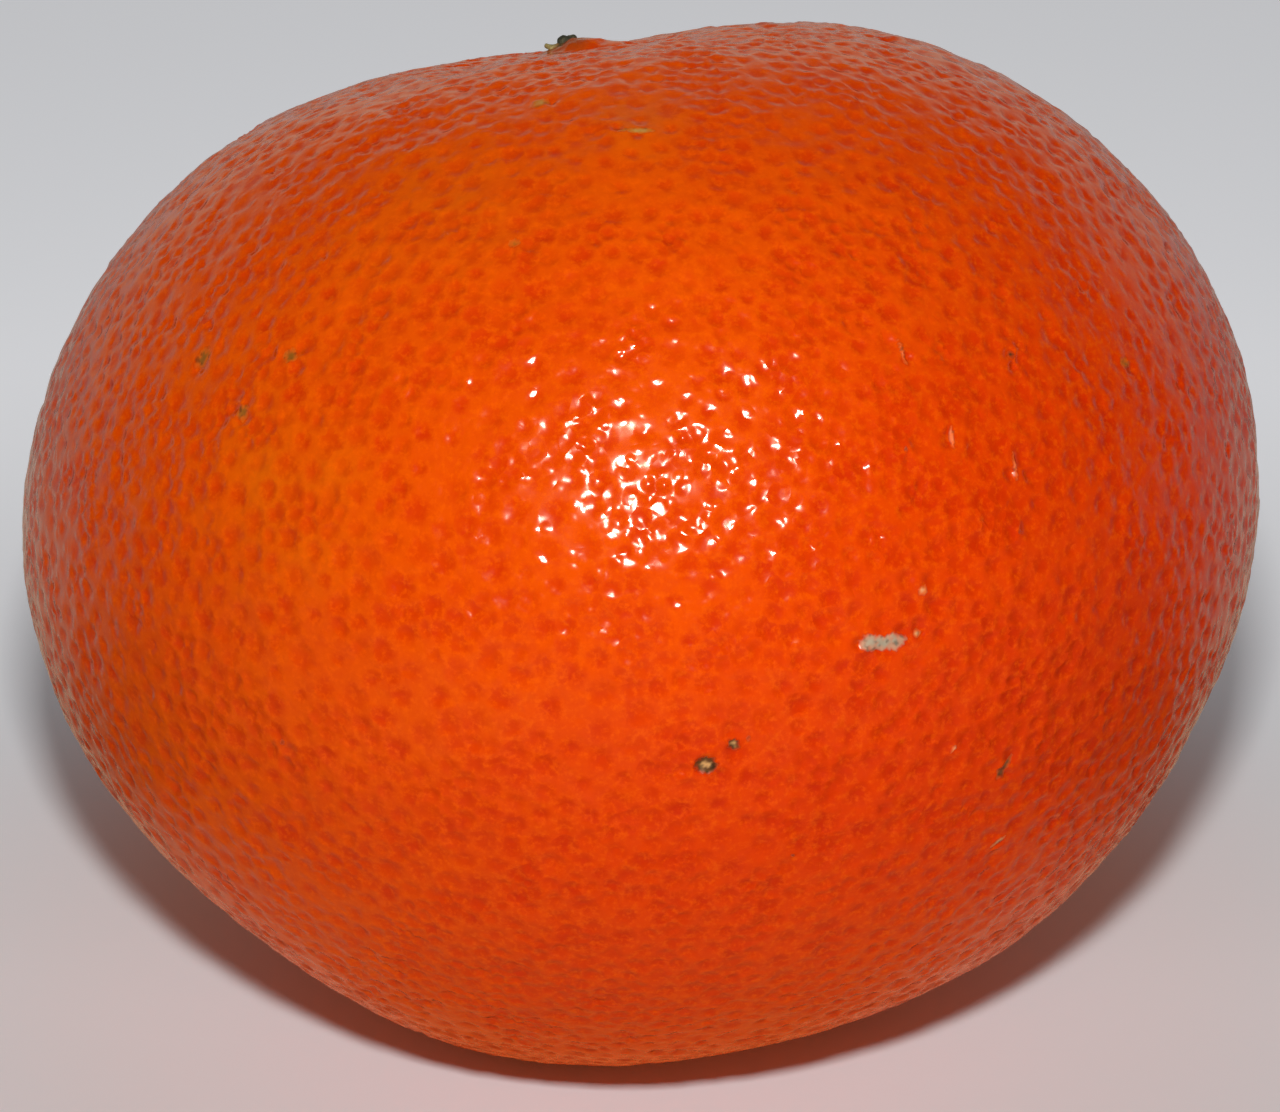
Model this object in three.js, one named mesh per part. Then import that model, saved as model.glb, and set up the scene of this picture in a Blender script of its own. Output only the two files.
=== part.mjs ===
// A mandarin lying at rest: the whole fruit in its peel, the dried calyx on its crown,
// and the stub of stem that stands in the middle of the calyx.
//
// Millimetres, +Z up. +X is to the right and +Y to the back. The origin is the bottom centre of
// the whole, on the surface that the fruit rests on. Each part is shaped in the fruit's own frame,
// with its middle at the origin and its crown straight up, and is then leant as the fruit lies.

import * as THREE from 'three';

// The fruit's meridian, from the crown over the equator to the blossom end
const EQUATOR_RADIUS = 30.7;
const CROWN_HEIGHT = 25.2; // above the equator, before the basin is sunk
const BLOSSOM_DEPTH = 27.7; // below the equator, before the hollow is sunk
const CROWN_SPREAD = 0.63; // how far out the crown runs level, as a share of the equator radius
const CROWN_SIDE = 0.50; // how far up the side runs upright, as a share of the crown height
const BLOSSOM_SPREAD = 0.59;
const BLOSSOM_SIDE = 0.49;

// The wide basin round the calyx and the small hollow at the blossom end
const BASIN_DEPTH = 2.6;
const BASIN_RADIUS = 12;
const HOLLOW_DEPTH = 0.9;
const HOLLOW_RADIUS = 5.5;

// The smooth lump of peel that stands up beside the calyx
const LUMP_HEIGHT = 0.65;
const LUMP_RADIUS = 0.85;
const LUMP_PLACE = new THREE.Vector2(1.1, -0.9);

// How the fruit lies: the crown leans to the left and to the back, on a small flat spot
const LEAN_LEFT = THREE.MathUtils.degToRad(7.5);
const LEAN_BACK = THREE.MathUtils.degToRad(15);
const FLAT_SPOT_DEPTH = 1.1; // how much of the lowest point is pressed flat

// Low swells (+) and hollows (-) of the peel, as the fruit lies:
// azimuth and elevation of the middle in degrees, reach in degrees, height in mm
const SWELLS = [
  swell(56, 64, 13, 0.25), // right shoulder of the basin, at the back
  swell(126, 64, 13, 0.15), // left shoulder of the basin, at the back
  swell(150, 52, 13, 0.1), // slope of the left shoulder
  swell(167, 29, 15, 0.1), // upper left side
  swell(179, 2, 15, 0.2), // left side
  swell(-159, -41, 15, -0.8), // flat place on the lower left
  swell(-131, -62, 12, 0.2), // low belly at the bottom left
  swell(-50, -60, 12, -0.55), // flat place at the bottom right
  swell(-10, -23, 12, -0.3), // flat place on the lower right
  swell(72, 12, 22, 0.25), // back of the right side
  swell(98, -28, 20, -0.35), // flat place low at the back
  swell(128, 20, 18, -0.2), // flat place at the back of the left side
];

// The calyx: a thin ring of five sepals round the stem
const SEPAL_COUNT = 5;
const CALYX_PLACE = new THREE.Vector2(-0.6, 0);
const CALYX_RADIUS = 1.7;
const CALYX_HOLE_RADIUS = 0.7;
const CALYX_THICKNESS = 0.35; // at the hole
const SEPAL_TIP_THICKNESS = 0.2;
const SEPAL_NOTCH = 0.5; // how deep the notches between sepals reach, as a share of a sepal

// The stub of stem
const STEM_RADIUS = 0.5;
const STEM_HEIGHT = 0.65;
const STEM_ROUNDING = 0.15;

const CLEARANCE = 0.2; // between the peel and what sits on it

// Mesh fineness
const FRUIT_SEGMENTS = 72;
const CROWN_RINGS = 28;
const BLOSSOM_RINGS = 18;
const CALYX_SEGMENTS = 40;
const CALYX_STEPS = 4;
const STEM_SEGMENTS = 16;

// Colours and finishes
const PEEL = new THREE.MeshStandardMaterial({ color: 0xee5a0c, roughness: 0.42, metalness: 0 });
const SEPALS = new THREE.MeshStandardMaterial({ color: 0x7c7a3c, roughness: 0.85, metalness: 0 });
const STEM = new THREE.MeshStandardMaterial({ color: 0x35301f, roughness: 0.9, metalness: 0 });

function swell(azimuth, elevation, reach, height) {
  const a = THREE.MathUtils.degToRad(azimuth);
  const e = THREE.MathUtils.degToRad(elevation);
  const direction = new THREE.Vector3(Math.cos(e) * Math.cos(a), Math.cos(e) * Math.sin(a), Math.sin(e));
  return { direction, reach: THREE.MathUtils.degToRad(reach), height };
}

// A bell-shaped rise that is 1 in the middle and falls to 0.37 one reach away
function bell(distance, reach) {
  return Math.exp(-((distance / reach) ** 2));
}

// Upper half of the meridian: level at the crown, upright at the equator
function crownCurve() {
  return new THREE.CubicBezierCurve(
    new THREE.Vector2(0, CROWN_HEIGHT),
    new THREE.Vector2(EQUATOR_RADIUS * CROWN_SPREAD, CROWN_HEIGHT),
    new THREE.Vector2(EQUATOR_RADIUS, CROWN_HEIGHT * CROWN_SIDE),
    new THREE.Vector2(EQUATOR_RADIUS, 0),
  );
}

// Lower half of the meridian: upright at the equator, level at the blossom end
function blossomCurve() {
  return new THREE.CubicBezierCurve(
    new THREE.Vector2(EQUATOR_RADIUS, 0),
    new THREE.Vector2(EQUATOR_RADIUS, -BLOSSOM_DEPTH * BLOSSOM_SIDE),
    new THREE.Vector2(EQUATOR_RADIUS * BLOSSOM_SPREAD, -BLOSSOM_DEPTH),
    new THREE.Vector2(0, -BLOSSOM_DEPTH),
  );
}

// Points of the upper half, closest together near the calyx, with the basin sunk into it
function crownPoints() {
  const curve = crownCurve();
  const points = [];
  for (let i = 0; i <= CROWN_RINGS; i += 1) {
    const point = curve.getPoint((i / CROWN_RINGS) ** 1.7);
    point.y -= BASIN_DEPTH * bell(point.x, BASIN_RADIUS);
    points.push(point);
  }
  return points;
}

// Points of the lower half, closer together near the blossom end, with the hollow sunk into it
function blossomPoints() {
  const curve = blossomCurve();
  const points = [];
  for (let i = 1; i <= BLOSSOM_RINGS; i += 1) {
    const point = curve.getPoint(1 - (1 - i / BLOSSOM_RINGS) ** 1.4);
    point.y += HOLLOW_DEPTH * bell(point.x, HOLLOW_RADIUS);
    points.push(point);
  }
  return points;
}

// Height that the lump adds at a place on the crown
function lumpHeight(x, y) {
  return LUMP_HEIGHT * bell(Math.hypot(x - LUMP_PLACE.x, y - LUMP_PLACE.y), LUMP_RADIUS);
}

// Height of the peel at a place near the calyx
function crownHeight(x, y) {
  const radius = Math.hypot(x, y);
  const points = crownPoints();
  const outer = points.findIndex((point) => point.x > radius);
  const low = points[outer - 1];
  const high = points[outer];
  const share = (radius - low.x) / (high.x - low.x);
  return low.y + (high.y - low.y) * share + lumpHeight(x, y);
}

// Passes each vertex of a geometry through a function that moves it
function reshape(geometry, move) {
  const position = geometry.getAttribute('position');
  const point = new THREE.Vector3();
  for (let i = 0; i < position.count; i += 1) {
    point.fromBufferAttribute(position, i);
    move(point);
    position.setXYZ(i, point.x, point.y, point.z);
  }
}

// Turns a profile of (radius, height) points round the upright axis
function turned(points, segments) {
  return new THREE.LatheGeometry(points, segments).rotateX(Math.PI / 2);
}

// Leans a geometry as the fruit lies
function lean(geometry) {
  return geometry.rotateY(-LEAN_LEFT).rotateX(-LEAN_BACK);
}

function raiseLump(geometry) {
  reshape(geometry, (point) => {
    if (point.z > 0) point.z += lumpHeight(point.x, point.y);
  });
}

function raiseSwells(geometry) {
  reshape(geometry, (point) => {
    const outward = point.clone().normalize();
    for (const { direction, reach, height } of SWELLS) {
      point.addScaledVector(outward, height * bell(outward.angleTo(direction), reach));
    }
  });
}

// Presses the lowest part flat and gives the height of the flat spot
function pressFlat(geometry) {
  geometry.computeBoundingBox();
  const floor = geometry.boundingBox.min.z + FLAT_SPOT_DEPTH;
  reshape(geometry, (point) => {
    point.z = Math.max(point.z, floor);
  });
  return floor;
}

function fruitGeometry() {
  const geometry = turned([...crownPoints(), ...blossomPoints()].reverse(), FRUIT_SEGMENTS);
  raiseLump(geometry);
  lean(geometry);
  raiseSwells(geometry);
  return geometry;
}

// 1 along the middle of each sepal, falling to 0 in the notch between two
function sepalShare(angle) {
  return (0.5 + 0.5 * Math.cos(SEPAL_COUNT * angle)) ** 0.6;
}

// The ring's section, closed on itself: out along the underside and back over the top
function calyxSection() {
  const under = [];
  const over = [];
  for (let i = 0; i <= CALYX_STEPS; i += 1) {
    const share = i / CALYX_STEPS;
    const radius = THREE.MathUtils.lerp(CALYX_HOLE_RADIUS, CALYX_RADIUS, share);
    const thickness = THREE.MathUtils.lerp(CALYX_THICKNESS, SEPAL_TIP_THICKNESS, share ** 2);
    under.push(new THREE.Vector2(radius, 0));
    over.unshift(new THREE.Vector2(radius, thickness));
  }
  return [...under, ...over, under[0].clone()];
}

function calyxGeometry() {
  const geometry = turned(calyxSection(), CALYX_SEGMENTS);
  reshape(geometry, (point) => {
    const radius = Math.hypot(point.x, point.y);
    const reach = 1 - SEPAL_NOTCH * (1 - sepalShare(Math.atan2(point.y, point.x)));
    const shrunk = (CALYX_HOLE_RADIUS + (radius - CALYX_HOLE_RADIUS) * reach) / radius;
    point.x = point.x * shrunk + CALYX_PLACE.x;
    point.y = point.y * shrunk + CALYX_PLACE.y;
    point.z += crownHeight(point.x, point.y) + CLEARANCE;
  });
  return lean(geometry);
}

function stemGeometry() {
  const base = crownHeight(CALYX_PLACE.x, CALYX_PLACE.y) + CLEARANCE;
  const top = base + STEM_HEIGHT;
  const section = [
    new THREE.Vector2(0, base),
    new THREE.Vector2(STEM_RADIUS, base),
    new THREE.Vector2(STEM_RADIUS, top - STEM_ROUNDING),
    new THREE.Vector2(STEM_RADIUS - STEM_ROUNDING, top),
    new THREE.Vector2(0, top - STEM_ROUNDING / 2),
  ];
  const geometry = turned(section, STEM_SEGMENTS);
  geometry.translate(CALYX_PLACE.x, CALYX_PLACE.y, 0);
  return lean(geometry);
}

function namedMesh(name, geometry, material) {
  const mesh = new THREE.Mesh(geometry, material);
  mesh.name = name;
  return mesh;
}

const peel = fruitGeometry();
const floor = pressFlat(peel);

const mandarin = new THREE.Group();
mandarin.add(namedMesh('fruit', peel, PEEL));
mandarin.add(namedMesh('calyx', calyxGeometry(), SEPALS));
mandarin.add(namedMesh('stem_stub', stemGeometry(), STEM));

// Puts the origin under the middle of the whole, on the flat spot
const middle = new THREE.Box3().setFromObject(mandarin).getCenter(new THREE.Vector3());
mandarin.position.set(-middle.x, -middle.y, -floor);

export default mandarin;
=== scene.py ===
"""A mandarin at rest on a pale floor: pebbled waxy peel, dried calyx and a stub of stem."""

import math

import bmesh
import bpy
import numpy as np
from bpy.props import FloatProperty, FloatVectorProperty, IntProperty, PointerProperty
from mathutils import Matrix, Vector, noise
from mathutils.bvhtree import BVHTree
from mathutils.kdtree import KDTree


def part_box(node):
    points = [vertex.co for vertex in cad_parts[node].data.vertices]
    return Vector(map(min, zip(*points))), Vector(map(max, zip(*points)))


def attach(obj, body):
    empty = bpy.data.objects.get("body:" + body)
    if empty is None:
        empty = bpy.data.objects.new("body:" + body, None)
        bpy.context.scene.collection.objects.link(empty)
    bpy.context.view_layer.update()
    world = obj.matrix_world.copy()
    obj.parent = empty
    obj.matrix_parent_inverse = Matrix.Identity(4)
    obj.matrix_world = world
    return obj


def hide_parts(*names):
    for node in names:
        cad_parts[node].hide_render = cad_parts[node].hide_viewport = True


bl_info = {
    "name": "Mandarin",
    "version": (1, 0, 0),
    "blender": (4, 5, 0),
    "location": "3D View > Sidebar > Mandarin",
    "description": "Builds the peel, calyx and stem of a mandarin around its frame",
    "category": "Object",
}

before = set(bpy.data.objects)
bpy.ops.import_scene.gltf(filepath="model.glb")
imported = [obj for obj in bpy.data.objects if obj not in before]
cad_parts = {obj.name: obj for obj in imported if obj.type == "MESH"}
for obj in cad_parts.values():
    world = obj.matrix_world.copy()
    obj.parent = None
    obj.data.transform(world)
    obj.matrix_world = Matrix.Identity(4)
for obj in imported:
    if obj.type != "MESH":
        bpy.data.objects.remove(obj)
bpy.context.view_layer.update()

MM = 0.001
SEED = 20

# The frame's places
FRUIT_LOW, FRUIT_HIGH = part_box("fruit")
MIDDLE = (FRUIT_LOW + FRUIT_HIGH) / 2
LEAN_LEFT = math.radians(7.5)
LEAN_BACK = math.radians(15)
CROWN_TURN = Matrix.Rotation(-LEAN_BACK, 3, "X") @ Matrix.Rotation(-LEAN_LEFT, 3, "Y")
CROWN_AXIS = CROWN_TURN @ Vector((0, 0, 1))

STEM_LOW, STEM_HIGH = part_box("stem_stub")
STEM_MIDDLE_HEIGHT = 0.5 * MM  # above the peel
CALYX_BASE = (STEM_LOW + STEM_HIGH) / 2 - CROWN_AXIS * STEM_MIDDLE_HEIGHT  # on the peel, under the stem

WELD = 0.001 * MM

# The pieces that are laid over the frame's nodes
PEEL = "peel"
CALYX = "calyx_star"
STEM = "stem_end"


# ---------------------------------------------------------------- settings


class PeelSettings(bpy.types.PropertyGroup):
    gland_depth: FloatProperty(
        name="Gland depth",
        description="Depth of the pit over an oil gland",
        default=0.15 * MM,
        subtype="DISTANCE",
        unit="LENGTH",
    )
    pebble_height: FloatProperty(
        name="Pebble height",
        description="Height of the low pebbles, each a few glands wide",
        default=0.07 * MM,
        subtype="DISTANCE",
        unit="LENGTH",
    )
    ripe_colour: FloatVectorProperty(
        name="Ripe colour",
        description="Colour of the peel between its glands",
        default=(0.60, 0.056, 0.0),
        size=3,
        subtype="COLOR",
    )
    gland_colour: FloatVectorProperty(
        name="Gland colour",
        description="Colour over an oil gland, redder than the rest",
        default=(0.50, 0.019, 0.0),
        size=3,
        subtype="COLOR",
    )
    pale_colour: FloatVectorProperty(
        name="Pale colour",
        description="Colour of the patches that ripened last",
        default=(0.72, 0.092, 0.0),
        size=3,
        subtype="COLOR",
    )


class CalyxSettings(bpy.types.PropertyGroup):
    sepals: IntProperty(
        name="Sepals",
        description="Number of sepals in the calyx",
        default=5,
        min=3,
        max=7,
    )
    radius: FloatProperty(
        name="Radius",
        description="From the stem's middle to the tip of a sepal",
        default=1.6 * MM,
        subtype="DISTANCE",
        unit="LENGTH",
    )
    thickness: FloatProperty(
        name="Thickness",
        description="Thickness of a sepal",
        default=0.22 * MM,
        subtype="DISTANCE",
        unit="LENGTH",
    )


class StemSettings(bpy.types.PropertyGroup):
    radius: FloatProperty(
        name="Radius",
        description="Radius of the stub",
        default=0.52 * MM,
        subtype="DISTANCE",
        unit="LENGTH",
    )
    height: FloatProperty(
        name="Height",
        description="Height of the stub above the peel",
        default=0.92 * MM,
        subtype="DISTANCE",
        unit="LENGTH",
    )


class StageSettings(bpy.types.PropertyGroup):
    floor_colour: FloatVectorProperty(
        name="Floor colour",
        description="Colour of the pale floor",
        default=(0.86, 0.885, 0.905),
        size=3,
        subtype="COLOR",
    )
    view_elevation: FloatProperty(
        name="View elevation",
        description="Height of the camera above the floor, as an angle",
        default=math.radians(22),
        subtype="ANGLE",
        unit="ROTATION",
    )
    view_distance: FloatProperty(
        name="View distance",
        description="From the camera to the middle of the fruit",
        default=250 * MM,
        subtype="DISTANCE",
        unit="LENGTH",
    )


# ---------------------------------------------------------------- finishes


# Where a dome begins to flatten and where it ends, as shares of its size
DOME_TOP = 0.25
DOME_EDGE = 0.6


class Finish:
    """A material and its node tree, built up one node at a time."""

    def __init__(self, owner):
        self.owner = owner
        owner.use_nodes = True
        self.tree = owner.node_tree
        self.tree.nodes.clear()

    def feed(self, socket, value):
        if isinstance(value, bpy.types.NodeSocket):
            self.tree.links.new(value, socket)
        else:
            socket.default_value = value

    def node(self, kind, inputs=None, **settings):
        """Adds a node, sets it up, and feeds its inputs, given by name or number."""
        made = self.tree.nodes.new("ShaderNode" + kind)
        for name, value in settings.items():
            setattr(made, name, value)
        for name, value in (inputs or {}).items():
            self.feed(made.inputs[name], value)
        return made

    def math(self, operation, *values):
        inputs = dict(enumerate(values))
        return self.node("Math", inputs, operation=operation).outputs[0]

    def length(self, vector):
        return self.node("VectorMath", {0: vector}, operation="LENGTH").outputs["Value"]

    def distance(self, a, b):
        return self.node("VectorMath", {0: a, 1: b}, operation="DISTANCE").outputs["Value"]

    def add(self, a, b):
        return self.node("VectorMath", {0: a, 1: b}, operation="ADD").outputs[0]

    def subtract(self, a, b):
        return self.node("VectorMath", {0: a, 1: b}, operation="SUBTRACT").outputs[0]

    def scale(self, vector, factor):
        return self.node("VectorMath", {0: vector, "Scale": factor}, operation="SCALE").outputs[0]

    def normalise(self, vector):
        return self.node("VectorMath", {0: vector}, operation="NORMALIZE").outputs[0]

    def parts(self, vector):
        return self.node("SeparateXYZ", {0: vector}).outputs

    def ramp(self, value, start, end, low=0.0, high=1.0):
        """A smooth change from low to high as value goes from start to end."""
        inputs = {"Value": value, "From Min": start, "From Max": end, "To Min": low, "To Max": high}
        return self.node("MapRange", inputs, interpolation_type="SMOOTHSTEP").outputs[0]

    def blend(self, share, a, b):
        """Number a turning into number b."""
        return self.node("Mix", {0: share, 2: a, 3: b}).outputs[0]

    def mix(self, share, a, b):
        """Colour a turning into colour b."""
        made = self.node("Mix", data_type="RGBA")
        self.feed(made.inputs[0], share)
        self.feed(made.inputs[6], rgba(a))
        self.feed(made.inputs[7], rgba(b))
        return made.outputs[2]

    def places(self):
        return self.node("TexCoord").outputs["Object"]

    def attribute(self, name):
        return self.node("Attribute", attribute_name=name).outputs

    def noise(self, vector, size, detail=2.0, roughness=0.5):
        """Noise whose lumps are about size across, from 0 to 1."""
        inputs = {"Vector": vector, "Scale": 1 / size, "Detail": detail, "Roughness": roughness}
        return self.node("TexNoise", inputs).outputs[0]

    def bump(self, height, depth):
        """The normal of a surface that stands out by depth where height is 1."""
        return self.node("Bump", {"Height": height, "Distance": depth, "Strength": 1.0}).outputs[0]

    def domes(self, normal, vector, size, slope):
        """Tilts the normal as on low round domes side by side, each about size across."""
        cells = self.node("TexVoronoi", {"Vector": vector, "Scale": 1 / size}).outputs
        from_top = self.subtract(vector, cells["Position"])
        steepness = self.ramp(cells["Distance"], DOME_TOP, DOME_EDGE, 2 * slope / size, 0.0)
        tilt = {0: self.scale(from_top, steepness)}
        tilt = self.node("VectorTransform", tilt, convert_from="OBJECT", convert_to="WORLD")
        return self.normalise(self.add(normal, tilt.outputs[0]))

    def surface(self, inputs):
        shader = self.node("BsdfPrincipled", inputs)
        self.node("OutputMaterial", {"Surface": shader.outputs[0]})
        return self.owner


def rgba(colour):
    if isinstance(colour, bpy.types.NodeSocket) or len(colour) == 4:
        return colour
    return (*colour, 1.0)


# Colours of the peel besides those of its settings
YELLOW = (0.58, 0.115, 0.001)
RED = (0.63, 0.028, 0.0)
CALYX_BROWN = (0.27, 0.045, 0.005)

# Patterns of the peel's colour
FLECK_SIZE = 0.35 * MM
MOTTLE_SIZE = 1.0 * MM
GLAND_FRAYING = 1.2  # how far the flecks push the edge of a gland's colour, in gland radii
GLAND_COLOUR_START = 0.25  # from here, in gland radii, the gland's colour fades
GLAND_COLOUR_END = 1.3
FAINTEST_GLAND = 0.22  # share of the gland colour over the faintest gland
STRONGEST_GLAND = 0.58
REDDER_GLANDS = 0.6  # how much more of it glands have where the peel is red
MOTTLE_REDNESS = 0.25
FLECK_PALENESS = 0.5

# The fine relief that only the light shows
RELIEF_DEPTH = 0.11 * MM
PIT_SHARE = 0.42  # of the relief's depth
PIT_EDGE = 1.05  # in gland radii
RIPPLE_SHARE = 0.7
RIPPLE_SIZE = 1.2 * MM
DOME_SIZE = 0.65 * MM
DOME_SLOPE = 0.22

# How rough the peel is where it is glossiest and dullest, and on a blemish
GLOSSIEST = 0.13
DULLEST = 0.20
MARK_ROUGHNESS = 0.6


def peel_colour(finish, settings, flecks, mottle):
    """Orange peel with tints, redder glands, fine flecks and blemishes."""
    gland = finish.attribute("gland")
    tint = finish.attribute("tint")
    mark = finish.attribute("mark")
    pale, yellow, red = finish.parts(tint["Vector"])
    colour = finish.mix(pale, tuple(settings.ripe_colour), tuple(settings.pale_colour))
    colour = finish.mix(yellow, colour, YELLOW)
    colour = finish.mix(red, colour, RED)

    fraying = finish.math("MULTIPLY_ADD", flecks, GLAND_FRAYING, -GLAND_FRAYING / 2)
    edge = finish.math("ADD", finish.length(gland["Vector"]), fraying)
    over_gland = finish.ramp(edge, GLAND_COLOUR_START, GLAND_COLOUR_END, 1.0, 0.0)
    tone = finish.math("MULTIPLY_ADD", gland["Alpha"], STRONGEST_GLAND - FAINTEST_GLAND, FAINTEST_GLAND)
    tone = finish.math("MULTIPLY", tone, finish.math("MULTIPLY_ADD", red, REDDER_GLANDS, 1.0))
    redder = finish.math("MULTIPLY", over_gland, tone)
    redder = finish.math("ADD", redder, finish.ramp(mottle, 0.4, 0.7, 0.0, MOTTLE_REDNESS))
    colour = finish.mix(redder, colour, tuple(settings.gland_colour))
    paler = finish.ramp(flecks, 0.45, 0.75, 0.0, FLECK_PALENESS)
    colour = finish.mix(paler, colour, tuple(settings.pale_colour))
    colour = finish.mix(tint["Alpha"], colour, CALYX_BROWN)
    return finish.mix(mark["Alpha"], colour, mark["Color"])


def peel_normal(finish, places):
    """Pits over the glands, ripples between them, and the low domes that break up the highlight."""
    from_gland = finish.length(finish.attribute("gland")["Vector"])
    in_pit = finish.ramp(from_gland, 0.0, PIT_EDGE, 1.0, 0.0)
    ripples = finish.math("MULTIPLY", finish.noise(places, RIPPLE_SIZE, detail=0.0), RIPPLE_SHARE)
    height = finish.math("MULTIPLY_ADD", in_pit, -PIT_SHARE, ripples)
    return finish.domes(finish.bump(height, RELIEF_DEPTH), places, DOME_SIZE, DOME_SLOPE)


def peel_finish(settings):
    """Waxy peel, whose mesh says where its glands, tints and blemishes are."""
    finish = Finish(bpy.data.materials.new("peel"))
    places = finish.places()
    flecks = finish.noise(places, FLECK_SIZE, detail=3.0, roughness=0.7)
    mottle = finish.noise(places, MOTTLE_SIZE, detail=4.0, roughness=0.7)
    gloss = finish.ramp(mottle, 0.3, 0.7, GLOSSIEST, DULLEST)
    return finish.surface(
        {
            "Base Color": peel_colour(finish, settings, flecks, mottle),
            "Roughness": finish.blend(finish.attribute("mark")["Alpha"], gloss, MARK_ROUGHNESS),
            "IOR": 1.38,
            "Normal": peel_normal(finish, places),
        }
    )


# Dried sepals: colours between light and dark, sizes of the pattern, and where the pale tips are
SEPAL_BROWN_DARK = (0.09, 0.045, 0.01)
SEPAL_BROWN_LIGHT = (0.22, 0.085, 0.018)
SEPAL_TIP_DARK = (0.20, 0.15, 0.04)
SEPAL_TIP_LIGHT = (0.38, 0.31, 0.12)
SEPAL_LUMP_SIZE = 0.4 * MM
SEPAL_VEIN_SIZE = 0.15 * MM
SEPAL_VEIN_DEPTH = 0.03 * MM
SEPAL_TIP_RAGGEDNESS = 0.5 * MM
SEPAL_TIP_START = 1.0 * MM  # from the stem's middle
SEPAL_TIP_END = 1.4 * MM


def sepal_finish():
    """Dry brown sepals that are paler and greener towards their tips."""
    finish = Finish(bpy.data.materials.new("dried sepal"))
    places = finish.places()
    lumps = finish.noise(places, SEPAL_LUMP_SIZE, detail=4.0, roughness=0.65)
    veins = finish.noise(places, SEPAL_VEIN_SIZE, detail=3.0, roughness=0.7)
    brown = finish.mix(finish.ramp(lumps, 0.35, 0.65), SEPAL_BROWN_DARK, SEPAL_BROWN_LIGHT)
    tip = finish.mix(finish.ramp(veins, 0.3, 0.7), SEPAL_TIP_DARK, SEPAL_TIP_LIGHT)
    from_stem = finish.distance(places, CALYX_BASE)
    from_stem = finish.math("MULTIPLY_ADD", lumps, SEPAL_TIP_RAGGEDNESS, from_stem)
    colour = finish.mix(finish.ramp(from_stem, SEPAL_TIP_START, SEPAL_TIP_END), brown, tip)
    normal = finish.bump(veins, SEPAL_VEIN_DEPTH)
    return finish.surface({"Base Color": colour, "Roughness": 0.7, "Normal": normal})


# Dead wood of the stem
WOOD_LIGHT = (0.075, 0.07, 0.035)
WOOD_DARK = (0.016, 0.018, 0.011)
WOOD_GRAIN = 0.3 * MM
WOOD_DEPTH = 0.045 * MM


def stem_finish():
    """Dark dead wood with a coarse grain."""
    finish = Finish(bpy.data.materials.new("stem wood"))
    grain = finish.noise(finish.places(), WOOD_GRAIN, detail=4.0, roughness=0.65)
    colour = finish.mix(finish.ramp(grain, 0.35, 0.65), WOOD_DARK, WOOD_LIGHT)
    normal = finish.bump(grain, WOOD_DEPTH)
    return finish.surface({"Base Color": colour, "Roughness": 0.7, "Normal": normal})


FLOOR_GRAIN = 2 * MM
FLOOR_GRAIN_DEPTH = 0.01 * MM

# The floor shines softly from START to END away from the fruit, where the lamp reaches it less
GLOW = 0.375
GLOW_START = 16 * MM
GLOW_END = 110 * MM
GLOW_COLOUR = (0.985, 0.985, 1.025)
FAR_GLOW = 0.16  # and a little more far away
FAR_START = 200 * MM
FAR_END = 600 * MM

# Close to the fruit it shines with the warm light that the peel sheds on it
BOUNCE = 0.046
BOUNCE_START = 25 * MM
BOUNCE_END = 52 * MM
BOUNCE_COLOUR = (1.0, 0.3, 0.08)

# Painted shade: the floor's colour is a little darker in front of the fruit
PAINTED_FRONT_SHADE = 0.86
FRONT_START = 4 * MM
FRONT_END = -22 * MM

# What the peel mirrors of it, by direction from the fruit: -1 is straight in front, 1 straight behind
MIRROR_START = -0.1  # from here backwards it grows from dim to pale
MIRROR_END = 0.75
BESIDE_START = -0.9  # from here backwards the dim floor near the fruit grows paler
BESIDE_END = -0.2
MIRROR_NEAR = (1.0, 0.29, 0.08)
MIRROR_BESIDE = (1.0, 0.50, 0.33)
MIRROR_FAR = (0.05, 0.02, 0.01)
MIRROR_BEHIND = (0.95, 0.78, 0.50)
MIRROR_LOSS = 0.4  # share of the glow that no mirror ray sees


def floor_glow(finish, away, mirrored, dim):
    """Strength of the floor's own pale light."""
    close = finish.ramp(away, GLOW_START, GLOW_END, 0.0, GLOW)
    far = finish.ramp(away, FAR_START, FAR_END, 0.0, FAR_GLOW)
    loss = finish.math("MAXIMUM", dim, finish.math("MULTIPLY", mirrored, MIRROR_LOSS))
    return finish.math("MULTIPLY", finish.math("ADD", close, far), finish.math("SUBTRACT", 1.0, loss))


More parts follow.
